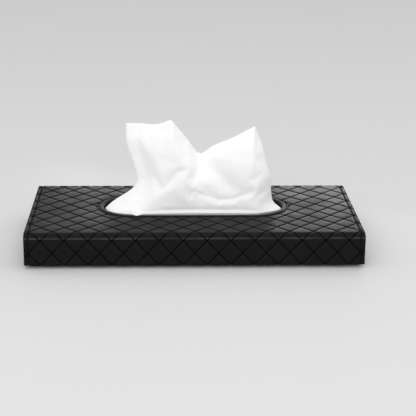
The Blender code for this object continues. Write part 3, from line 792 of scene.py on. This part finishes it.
def sew(points, faces, route, normals, closed):
    """Add a row of stitches along a route, each a short thread that dips into the leather."""
    table = np.hstack([route, normals])
    if closed:
        table = np.vstack([table, table[:1]])
    steps = np.linalg.norm(np.diff(table[:, :3], axis=0), axis=1)
    travelled = np.concatenate([[0], np.cumsum(steps)])
    count = max(1, round(travelled[-1] / STITCH_PITCH))
    pitch = travelled[-1] / count
    half = STITCH_LENGTH / 2 * pitch / STITCH_PITCH
    rows = len(STITCH_RING_SHARES)

    def at(distance):
        row = np.array([np.interp(distance, travelled, column) for column in table.T])
        return row[:3], row[3:]

    for number in range(count):
        middle = (number + 0.5) * pitch
        along = at(middle + half)[0] - at(middle - half)[0]
        along /= np.linalg.norm(along)
        up = at(middle)[1]
        up /= np.linalg.norm(up)
        across = np.cross(along, up)
        first = len(points)
        for share in (-1.0, *STITCH_RING_SHARES, 1.0):
            spot = at(middle + share * half)[0]
            spot = spot + up * STITCH_LIFT * (1 - STITCH_DIP * share ** 2)
            spot = spot + across * STITCH_SLANT * share * half
            radius = STITCH_RADIUS * math.sqrt(1 - share ** 4)
            for side in range(STITCH_SIDES if radius else 1):
                turn = 2 * math.pi * side / STITCH_SIDES
                points.append(spot + radius * (math.cos(turn) * across + math.sin(turn) * up))
        last = first + 1 + rows * STITCH_SIDES
        for side in range(STITCH_SIDES):
            after = (side + 1) % STITCH_SIDES
            faces.append((first, first + 1 + after, first + 1 + side))
            faces.append((last, last - STITCH_SIDES + side, last - STITCH_SIDES + after))
            for row in range(rows - 1):
                a = first + 1 + row * STITCH_SIDES
                b = a + STITCH_SIDES
                faces.append((a + side, a + after, b + after, b + side))


def stitches(name, rows, closed, material):
    """A piece of one or more rows of stitches, each given as its route and outward directions."""
    points, faces = [], []
    for route, normals in rows:
        sew(points, faces, route, normals, closed)
    mesh = mesh_from(name, [tuple(point) for point in points], faces)
    turn_outward(mesh)
    mesh.shade_smooth()
    item = link(mesh, name, material)
    return item


def edge_row(section, x, last_s):
    """A row of stitches along a section at one x, from the back fold on."""
    steps = max(2, round(abs(last_s - BACK_S) / (STITCH_PITCH / ROUTE_STEPS)))
    return section.route(x, np.linspace(BACK_S, last_s, steps), -THREAD_SINK)


def add_stitching(material):
    """Every row of stitches."""
    ring = stadium(OPENING_STITCH_MARGIN)
    route = [(x, y, TOP_Z - OPENING_THREAD_SINK) for x, y, out_x, out_y in ring]
    item = stitches("opening_stitches", [(route, [(0, 0, 1)] * len(ring))], True, material)
    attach(item, "case")
    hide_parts("opening_stitching")
    for word, side in (("left", -1), ("right", 1)):
        x = side * (HALF_WIDTH - EDGE_STITCH_INSET)
        row = edge_row(CASE_SECTION, x, CASE_SECTION.end_s + STITCH_END_MARGIN)
        item = stitches(word + "_edge_stitches", [row], False, material)
        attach(item, "case")
        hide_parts(word + "_edge_stitching")
        row = edge_row(FLAP_SECTION, x, FLAP_SECTION.end_s)
        item = stitches(word + "_flap_stitches", [row], False, material)
        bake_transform(item)
        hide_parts(word + "_flap_stitching")
    add_lip_stitches(material)
    for word in ("left", "right"):
        for end in ("front", "back"):
            add_strap_stitches(word + "_strap_" + end, material)


def add_lip_stitches(material):
    """A row round the lip, from the lower fold at one end to the other, on each of its faces."""
    inset = EDGE_STITCH_INSET
    radius = LIP_CORNER_RADIUS - inset
    straight_s = LIP_SECTION.end_s - LIP_CORNER_RADIUS
    side_x = HALF_WIDTH - LIP_CORNER_RADIUS
    rows = []
    for side, height, first_s in (
            (1, -THREAD_SINK, LIP_SECTION.start_s),
            (-1, INNER_THREAD_SINK - LIP_THICKNESS, LIP_SECTION.start_s + FOLD_LENGTH)):
        flat = [(-HALF_WIDTH + inset, s) for s in np.linspace(first_s, straight_s, LIP_SIDE_STEPS)]
        flat += [(-side_x - radius * math.cos(a), straight_s + radius * math.sin(a))
                 for a in np.linspace(0, math.pi / 2, LIP_CORNER_STEPS)[1:]]
        flat += [(-x, s) for x, s in reversed(flat)]
        rows.append(LIP_SECTION.route(*np.array(flat).T, height, side))
    item = stitches("lip_stitches", rows, False, material)
    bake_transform(item)
    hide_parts("lip_stitching")


def add_strap_stitches(name, material):
    """A box of stitches, where a strap is sewn to the base."""
    low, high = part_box(name + "_stitching")
    left, right = low.x + STRAP_STITCH_INSET, high.x - STRAP_STITCH_INSET
    front, back = low.y + STRAP_STITCH_INSET, high.y - STRAP_STITCH_INSET
    z = high.z - STRAP_THREAD_SINK
    corners = np.array([(left, front, z), (right, front, z), (right, back, z), (left, back, z)])
    route = [tuple(a + (b - a) * step / STRAP_SIDE_STEPS)
             for a, b in zip(corners, np.roll(corners, -1, axis=0))
             for step in range(STRAP_SIDE_STEPS)]
    item = stitches(name + "_stitches", [(route, [(0, 0, -1)] * len(route))], True, material)
    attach(item, "case")
    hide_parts(name + "_stitching")


def set_inputs(tree, node, inputs):
    """Set a node's sockets. inputs is (socket, value) pairs; a value may be a node's output."""
    for socket, value in inputs:
        if isinstance(value, bpy.types.NodeSocket):
            tree.links.new(value, node.inputs[socket])
        else:
            node.inputs[socket].default_value = value


def add_node(tree, kind, inputs=(), **settings):
    node = tree.nodes.new(kind)
    for key, value in settings.items():
        setattr(node, key, value)
    set_inputs(tree, node, inputs)
    return node


def new_material(name, roughness, specular=0.5, metallic=0.0):
    material = bpy.data.materials.new(name)
    material.use_nodes = True
    tree = material.node_tree
    shader = tree.nodes["Principled BSDF"]
    set_inputs(tree, shader, [("Roughness", roughness), ("Specular IOR Level", specular),
                              ("Metallic", metallic)])
    return material, tree, shader


def maths(tree, operation, *values):
    node = add_node(tree, "ShaderNodeMath", list(enumerate(values)), operation=operation)
    return node.outputs[0]


def ramp(tree, value, span, results):
    """A value's place in a span, as the same place between two results."""
    inputs = list(enumerate((value, *span, *results)))
    return add_node(tree, "ShaderNodeMapRange", inputs).outputs[0]


def object_place(tree):
    return add_node(tree, "ShaderNodeTexCoord").outputs["Object"]


def texture(tree, kind, scale, more=(), **settings):
    inputs = [("Vector", object_place(tree)), ("Scale", scale), *more]
    return add_node(tree, kind, inputs, **settings)


def noise_of(tree, scale, detail=NOISE_DETAIL):
    return texture(tree, "ShaderNodeTexNoise", scale, [("Detail", detail)]).outputs["Fac"]


def mixed(tree, share, first, second):
    """A colour between two, of which the first may be another node's output."""
    if not isinstance(first, bpy.types.NodeSocket):
        first = (*first, 1.0)
    inputs = [("Factor", share), ("A", first), ("B", (*second, 1.0))]
    return add_node(tree, "ShaderNodeMix", inputs, data_type="RGBA").outputs["Result"]


def add_bump(tree, shader, height, strength, distance, under=None):
    """Bump on a shader, over another bump where one is given."""
    inputs = [("Height", height), ("Strength", strength), ("Distance", distance)]
    if under is not None:
        inputs.append(("Normal", under))
    bump = add_node(tree, "ShaderNodeBump", inputs)
    tree.links.new(bump.outputs["Normal"], shader.inputs["Normal"])
    return bump.outputs["Normal"]


def sewn_lines(tree, first, second):
    """Thread along the quilt's lines, in dashes: 1 on a thread and 0 elsewhere."""
    threads = []
    for across, along in ((first, second), (second, first)):
        distance = maths(tree, "PINGPONG", across, 0.5)
        body = ramp(tree, distance, (0.0, LINE_HALF_SHARE), (1.0, 0.0))
        step = maths(tree, "PINGPONG", maths(tree, "MULTIPLY", along, DASHES_A_DIAMOND), 0.5)
        dash = ramp(tree, step, DASH_SHARES, (0.0, 1.0))
        threads.append(maths(tree, "MULTIPLY", body, dash))
    return maths(tree, "MAXIMUM", *threads)


def painted_fold_highlight(tree, first, second, flat):
    """Painted highlight along the fold at the front: 1 there and 0 elsewhere, and only where flat.
    """
    s = maths(tree, "MULTIPLY", maths(tree, "SUBTRACT", first, second), QUILT_DEPTH / 2)
    from_fold = maths(tree, "ABSOLUTE", maths(tree, "SUBTRACT", s, FOLD_CORNER_S))
    fold_highlight = maths(tree, "MULTIPLY", ramp(tree, from_fold, FOLD_HIGHLIGHT_REACH, (1.0, 0.0)), flat)
    patches = ramp(tree, noise_of(tree, FOLD_HIGHLIGHT_SCALE), FOLD_HIGHLIGHT_NOISE_RANGE, (FOLD_HIGHLIGHT_LEAST, 1.0))
    return maths(tree, "MULTIPLY", fold_highlight, patches)


def leather_material(name, quilted):
    """Leather with a fine pebbled grain. Where quilted, its lines are rough and sewn and carry
    painted shade, and the fold along the front has a painted highlight.
    """
    material, tree, shader = new_material(name, LEATHER_MEAN_ROUGHNESS, LEATHER_SPECULAR)
    patches = noise_of(tree, PATCH_SCALE, PATCH_DETAIL)
    colour = mixed(tree, patches, *LEATHER_COLOURS)
    rough = ramp(tree, patches, NOISE_RANGE, LEATHER_ROUGHNESS)
    pebbles = texture(tree, "ShaderNodeTexVoronoi", GRAIN_SCALE, feature="SMOOTH_F1")
    fine = noise_of(tree, GRAIN_SCALE * FINE_GRAIN_SCALE)
    grain = maths(tree, "ADD", pebbles.outputs["Distance"],
                  maths(tree, "MULTIPLY", fine, FINE_GRAIN_SHARE))
    bump = add_bump(tree, shader, grain, *GRAIN_BUMP)
    if quilted:
        quilt = add_node(tree, "ShaderNodeAttribute", attribute_name="quilt").outputs["Vector"]
        first, second, height = add_node(tree, "ShaderNodeSeparateXYZ", [(0, quilt)]).outputs
        depth = ramp(tree, height, GROOVE_HEIGHTS_MM, (1.0, 0.0))
        # Painted shade: the grooves get darker the deeper they are
        colour = mixed(tree, maths(tree, "MULTIPLY", depth, GROOVE_PAINTED_SHADE_SHARE), colour, GROOVE_PAINTED_SHADE_COLOUR)
        # Painted highlight on the fold at the front, broken at the quilt's lines
        fold_highlight = painted_fold_highlight(tree, first, second, maths(tree, "SUBTRACT", 1.0, depth))
        colour = mixed(tree, fold_highlight, colour, FOLD_HIGHLIGHT_COLOUR)
        rough = maths(tree, "ADD", rough, maths(tree, "MULTIPLY", depth, GROOVE_ROUGHNESS))
        add_bump(tree, shader, sewn_lines(tree, first, second), *LINE_BUMP, bump)
    set_inputs(tree, shader, [("Base Color", colour), ("Roughness", rough)])
    return material


def plain_material(name, roughness, specular, scale, detail, dark, light, strength, depth):
    """Two colours mixed by noise, which also makes the surface uneven."""
    material, tree, shader = new_material(name, roughness, specular)
    clouds = noise_of(tree, scale, detail)
    tree.links.new(mixed(tree, clouds, dark, light), shader.inputs["Base Color"])
    if strength:
        add_bump(tree, shader, clouds, strength, depth)
    return material


def thread_material():
    """Twisted black sewing thread."""
    material, tree, shader = new_material("black_thread", THREAD_ROUGHNESS, THREAD_SPECULAR)
    waves = texture(tree, "ShaderNodeTexWave", TWIST_SCALE, [("Distortion", TWIST_DISTORTION)],
                    bands_direction="DIAGONAL")
    twist = waves.outputs["Fac"]
    set_inputs(tree, shader, [("Base Color", mixed(tree, twist, *THREAD_COLOURS)),
                              ("Sheen Weight", THREAD_SHEEN)])
    add_bump(tree, shader, twist, *TWIST_BUMP)
    return material


def woven_material(name, roughness, scale, dark, light):
    """Plain weave, for the lining and the straps."""
    material, tree, shader = new_material(name, roughness, WEAVE_SPECULAR)
    place = add_node(tree, "ShaderNodeSeparateXYZ", [(0, object_place(tree))])
    waves = [maths(tree, "SINE", maths(tree, "MULTIPLY", axis, scale)) for axis in place.outputs]
    weave = maths(tree, "MULTIPLY", waves[0], maths(tree, "ADD", waves[1], waves[2]))
    share = ramp(tree, weave, (-1.0, 1.0), (0.0, 1.0))
    set_inputs(tree, shader, [("Base Color", mixed(tree, share, dark, light)),
                              ("Sheen Weight", WEAVE_SHEEN)])
    add_bump(tree, shader, share, *WEAVE_BUMP)
    return material


def steel_material():
    """Black-nickel plated steel, lightly scuffed."""
    material, tree, shader = new_material("plated_steel", STEEL_MEAN_ROUGHNESS, metallic=1.0)
    scuffs = noise_of(tree, SCUFF_SCALE, SCUFF_DETAIL)
    set_inputs(tree, shader, [("Base Color", mixed(tree, scuffs, *STEEL_COLOURS)),
                              ("Roughness", ramp(tree, scuffs, NOISE_RANGE, STEEL_ROUGHNESS))])
    return material


def tissue_material(name):
    """White tissue paper: matt, with a soft embossed crepe."""
    material, tree, shader = new_material(name, TISSUE_ROUGHNESS, TISSUE_SPECULAR)
    fibres = noise_of(tree, FIBRE_SCALE, FIBRE_DETAIL)
    crepe = noise_of(tree, CREPE_SCALE)
    set_inputs(tree, shader, [
        ("Base Color", mixed(tree, crepe, *TISSUE_COLOURS)), ("Subsurface Weight", TISSUE_GLOW),
        ("Subsurface Radius", (1.0, 1.0, 1.0)), ("Subsurface Scale", TISSUE_GLOW_DEPTH)])
    height = maths(tree, "ADD", fibres, maths(tree, "MULTIPLY", crepe, CREPE_SHARE))
    add_bump(tree, shader, height, *TISSUE_BUMP)
    return material


def spline_table(count, steps, sharper=(), tension=TENSION):
    """Weights of each control point at each step of a smooth line through them.

    The line turns with TENSION, but at the sharper points with another tension.
    """
    table = np.zeros(((count - 1) * steps + 1, count))
    for row in range(len(table)):
        i = min(row // steps, count - 2)
        t = row / steps - i
        blends = (2 * t ** 3 - 3 * t ** 2 + 1, t ** 3 - 2 * t ** 2 + t,
                  3 * t ** 2 - 2 * t ** 3, t ** 3 - t ** 2)
        table[row, i] += blends[0]
        table[row, i + 1] += blends[2]
        for end, blend in ((i, blends[1]), (i + 1, blends[3])):
            after, before = min(end + 1, count - 1), max(end - 1, 0)
            share = tension if end in sharper else TENSION
            share *= 1 if after - before == 2 else 2
            table[row, after] += blend * share
            table[row, before] -= blend * share
    return table


def tissue_grid():
    """Places on the drawn tissue, rows up from the tuck and columns across."""
    rows = []
    middle_y = OPENING_SETBACK / MILLIMETRE
    for x_share, y_share, drop in TISSUE_FOOT_SHARES:
        rows.append([(x * x_share, middle_y + (y - middle_y) * y_share, -drop)
                     for x, y, z in TISSUE_ROWS_MM[0]])
    cage = np.array(rows + [list(row) for row in TISSUE_ROWS_MM], dtype=float)
    count, columns = cage.shape[:2]
    up = spline_table(count, UP_STEPS, CREASE_ROWS, CREASE_TENSION)
    soft = spline_table(columns, ACROSS_STEPS)
    sharp = spline_table(columns, ACROSS_STEPS, PEAK_COLUMNS, PEAK_TENSION)
    high = np.arange(len(up)) / UP_STEPS - PEAK_START_ROW
    high = np.clip(high / (count - 1 - PEAK_START_ROW), 0, 1)[:, None, None]
    lines = np.einsum("ui,ijk->ujk", up, cage)
    return (np.einsum("ujk,vj->uvk", lines, soft)
            + high * np.einsum("ujk,vj->uvk", lines, sharp - soft))


def line_distance(x, z, line):
    """Distance of each (x, z) from a broken line, and how far along it, from 0 to 1."""
    best = np.full(x.shape, np.inf)
    along = np.zeros(x.shape)
    count = len(line) - 1
    for i in range(count):
        a, b = np.array(line[i]), np.array(line[i + 1])
        run = b - a
        t = np.clip(((x - a[0]) * run[0] + (z - a[1]) * run[1]) / run.dot(run), 0, 1)
        distance = np.hypot(x - a[0] - t * run[0], z - a[1] - t * run[1])
        nearer = distance < best
        best = np.where(nearer, distance, best)
        along = np.where(nearer, (i + t) / count, along)
    return best, along


def crease_tissue(grid):
    """Press the creases of the front into it, deepest at their middle."""
    columns = np.linspace(0, len(TISSUE_ROWS_MM[0]) - 1, grid.shape[1])
    first, last = CREASE_COLUMNS
    front = np.clip(np.minimum(columns - first, last - columns), 0, 1)
    for line, depth, spread, power in TISSUE_CREASES_MM:
        distance, along = line_distance(grid[..., 0], grid[..., 2], line)
        fade = np.sin(math.pi * (CREASE_ENDS[0] + (CREASE_ENDS[1] - CREASE_ENDS[0]) * along))
        grid[..., 1] += depth * fade * front * np.exp(-(distance / spread) ** power)
    return grid


def poke_tissue(grid):
    """Draw the tip out over the rim."""
    front = grid[..., 1] < 0
    share = front * np.clip(1 - np.abs(grid[..., 0] - TIP_X) / TIP_HALF_WIDTH, 0, 1)
    rows, *moves = zip(*TIP_MOVES)
    for axis in (1, 2):
        move = np.interp(np.arange(grid.shape[0]) / UP_STEPS, rows, moves[axis - 1])
        grid[..., axis] += move[:, None] * share
    return grid


def ripple_tissue(grid):
    """Shallow waves over the sheet, so that it has places to buckle at."""
    for spot in grid.reshape(-1, 3):
        waves = 0.0
        for octave in RIPPLE_OCTAVES:
            at = Vector((spot[0], spot[2], spot[1] * RIPPLE_DEPTH_SCALE)) * RIPPLE_SCALE * octave
            waves += noise.noise(at) / octave
        spot[1] += RIPPLE_HEIGHT * waves
    return grid


def crumple_tissue(item, shape):
    """Cloth run of the sheet, held at its foot, its top edge and its two side folds."""
    row = (np.arange(shape[0]) / UP_STEPS)[:, None] + np.zeros(shape)
    column = (np.arange(shape[1]) / ACROSS_STEPS)[None, :] + np.zeros(shape)
    foot = np.clip((FOOT_ROW - row) / FOOT_FADE_ROWS, 0, 1)
    edge = EDGE_HOLD * np.clip(1 - (row.max() - row) / EDGE_ROWS, 0, 1)

    def near_folds(reach):
        return [np.exp(-((column - fold) / reach) ** 2) for fold in FOLD_COLUMNS]

    held = np.maximum.reduce([np.full(shape, SOFT_HOLD), foot, edge] + [
        FOLD_HOLD * near for near in near_folds(FOLD_HOLD_COLUMNS)])
    grown = 1 - FOLD_STILLNESS * sum(near_folds(FOLD_STILL_COLUMNS))
    for name, weights in (("held", held), ("still", 1 - grown * (1 - foot))):
        group = item.vertex_groups.new(name=name)
        for number, weight in enumerate(weights.ravel()):
            group.add([number], float(weight), "REPLACE")
    cloth = item.modifiers.new("cloth", "CLOTH")
    settings = cloth.settings
    settings.quality = TISSUE_QUALITY
    settings.mass = TISSUE_MASS
    settings.bending_stiffness = TISSUE_BENDING
    settings.vertex_group_mass = "held"
    settings.vertex_group_shrink = "still"
    settings.shrink_min = -TISSUE_GROWTH
    settings.shrink_max = 0
    settings.effector_weights.gravity = 0
    cloth.collision_settings.use_collision = False
    cloth.point_cache.frame_end = TISSUE_FRAMES
    for frame_number in range(1, TISSUE_FRAMES + 1):
        bpy.context.scene.frame_set(frame_number)
    apply_modifiers(item)
    item.vertex_groups.clear()


def add_tissue(material):
    """The tissue drawn up out of the pack: a thin sheet, crumpled by the cloth run."""
    grid = ripple_tissue(poke_tissue(crease_tissue(tissue_grid())) * MILLIMETRE)
    grid[..., 2] += TOP_Z
    item = loop_mesh("drawn_tissue", [[tuple(point) for point in row] for row in grid],
                     False, False, material)
    crumple_tissue(item, grid.shape[:2])
    item.modifiers.new("smooth", "SUBSURF").levels = 1
    shell = item.modifiers.new("thickness", "SOLIDIFY")
    shell.thickness = TISSUE_THICKNESS
    shell.offset = 0
    apply_modifiers(item)
    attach(item, "pulled_tissue")
    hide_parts("tissue_sheet")


def apply_modifiers(item):
    """Make a piece's modifiers part of its mesh."""
    graph = bpy.context.evaluated_depsgraph_get()
    mesh = bpy.data.meshes.new_from_object(item.evaluated_get(graph))
    item.modifiers.clear()
    item.data = mesh
    mesh.shade_smooth()


def add_pack(material):
    """The pack of tissues: folded sheets on each other, each with a soft fold along its edges."""
    mesh_data = bmesh.new()
    half = (PACK_HIGH - PACK_LOW) / 2
    pitch = 2 * half.z / LAYER_COUNT
    size = (2 * half.x - LAYER_MARGIN[0], 2 * half.y - LAYER_MARGIN[1], pitch * LAYER_FILL)
    for number in range(LAYER_COUNT):
        shift = LAYER_SHIFT * math.sin(number * LAYER_SHIFT_TURN)
        centre = ((PACK_LOW.x + PACK_HIGH.x) / 2 + shift, LAYER_Y_SHARE * shift,
                  PACK_LOW.z + (number + 0.5) * pitch)
        placing = Matrix.Translation(centre) @ Matrix.Diagonal((*size, 1))
        made = bmesh.ops.create_cube(mesh_data, size=1, matrix=placing)
        edges = list({edge for vert in made["verts"] for edge in vert.link_edges})
        bmesh.ops.bevel(mesh_data, geom=edges, offset=pitch * LAYER_ROUNDING,
                        segments=LAYER_ROUND_STEPS, profile=0.5, affect="EDGES")
    mesh = finished_mesh("folded_tissues", mesh_data)
    mesh.shade_smooth()
    item = link(mesh, "folded_tissues", material)
    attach(item, "case")
    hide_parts("tissue_stack")
    return item


def add_strap(word, material):
    """An elastic strap, ribbed across its length."""
    low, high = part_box(word + "_visor_strap")
    count = round((high.y - low.y) / RIB_PITCH) * RIB_STEPS
    rings = []
    for i in range(count + 1):
        y = low.y + (high.y - low.y) * i / count
        dip = RIB_DEPTH * (0.5 - 0.5 * math.cos(2 * math.pi * i / RIB_STEPS))
        ring = []
        for z, way, shares in ((low.z, 1, STRAP_SHARES), (high.z, -1, STRAP_SHARES[::-1])):
            for share in shares:
                from_edge = min(share, 1 - share) / STRAP_EDGE_SHARE
                thinning = STRAP_EDGE_THINNING * max(0.0, 1 - from_edge) ** 2
                ring.append((low.x + (high.x - low.x) * share, y, z + way * (dip + thinning)))
        rings.append(ring)
    item = loop_mesh(word + "_elastic_strap", rings, False, True, material)
    turn_outward(item.data, closing=True)
    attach(item, "case")
    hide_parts(word + "_visor_strap")


def finish_nodes(material, *nodes):
    """Finish for CAD nodes that show as they are."""
    for node in nodes:
        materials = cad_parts[node].data.materials
        materials.clear()
        materials.append(material)


def add_camera():
    """The camera that the photograph was fitted with."""
    pitch, yaw, roll = (math.radians(a) for a in (CAMERA_PITCH, CAMERA_YAW, CAMERA_ROLL))
    forward = Vector((math.sin(yaw) * math.cos(pitch), math.cos(yaw) * math.cos(pitch),
                      -math.sin(pitch)))
    level = Vector((math.cos(yaw), -math.sin(yaw), 0))
    upward = level.cross(forward)
    right = math.cos(roll) * level + math.sin(roll) * upward
    up = math.cos(roll) * upward - math.sin(roll) * level
    camera = link(bpy.data.cameras.new("camera"), "camera")
    camera.matrix_world = Matrix.Translation(CAMERA_PLACE) @ Matrix(
        (right, up, -forward)).transposed().to_4x4()
    camera.data.sensor_width = SENSOR_WIDTH
    camera.data.lens = SENSOR_WIDTH * CAMERA_FOCUS_PX / IMAGE_WIDTH_PX
    bpy.context.scene.camera = camera


def add_area_light(name, place, target, size, power, lights_matt):
    light = bpy.data.lights.new(name, "AREA")
    light.shape = "RECTANGLE"
    light.size, light.size_y = size
    light.energy = power
    item = link(light, name)
    item.location = place
    item.rotation_euler = (Vector(target) - Vector(place)).to_track_quat("-Z", "Y").to_euler()
    item.visible_camera = False
    item.visible_diffuse = lights_matt


def add_world():
    """Soft even light. Eyes and gloss see a pale background."""
    world = bpy.data.worlds.new("studio")
    bpy.context.scene.world = world
    world.use_nodes = True
    tree = world.node_tree
    tree.nodes.clear()
    path = add_node(tree, "ShaderNodeLightPath")
    seen = maths(tree, "MAXIMUM", path.outputs["Is Camera Ray"], path.outputs["Is Glossy Ray"])
    seen = maths(tree, "MAXIMUM", seen, path.outputs["Is Transmission Ray"])
    strength = ramp(tree, seen, (0.0, 1.0), (WORLD_LIGHT, BACKGROUND_LIGHT))
    background = add_node(tree, "ShaderNodeBackground", [
        ("Color", (1.0, 1.0, 1.0, 1.0)), ("Strength", strength)])
    output = add_node(tree, "ShaderNodeOutputWorld")
    tree.links.new(background.outputs[0], output.inputs[0])


def add_floor():
    mesh_data = bmesh.new()
    bmesh.ops.create_grid(mesh_data, x_segments=2, y_segments=2, size=FLOOR_HALF_SIZE)
    mesh = finished_mesh("floor", mesh_data)
    floor = link(mesh, "floor", plain_material("pale_floor", *PALE_FLOOR))
    floor.location.z = -FLOOR_DROP


def main():
    bpy.context.scene.view_settings.view_transform = "Standard"
    add_camera()
    add_world()
    add_floor()
    for light in LIGHTS:
        add_area_light(*light)

    quilted = leather_material("quilted_leather", True)
    plain = leather_material("plain_leather", False)
    paint = plain_material("edge_paint", *EDGE_PAINT)
    thread = thread_material()
    lining = woven_material("black_lining", *LINING)
    board = plain_material("black_board", *BOARD)
    steel = steel_material()
    elastic = woven_material("black_elastic", *ELASTIC)
    add_outer_leather([quilted, paint, lining])
    add_flap_leather([quilted, paint, lining])
    add_lip_leather([quilted, paint, plain])
    add_binding(plain)
    add_stitching(thread)
    add_strap("left", elastic)
    add_strap("right", elastic)
    pack = add_pack(tissue_material("stacked_tissue"))
    add_tissue(tissue_material("white_tissue"))
    finish_nodes(plain, "left_gusset", "right_gusset")
    finish_nodes(lining, "inner_lining", "back_lining")
    finish_nodes(board, "top_board", "front_board", "bottom_board", "back_board")
    finish_nodes(steel, "left_lip_magnet", "right_lip_magnet", "left_strike_disc",
                 "right_strike_disc")


main()
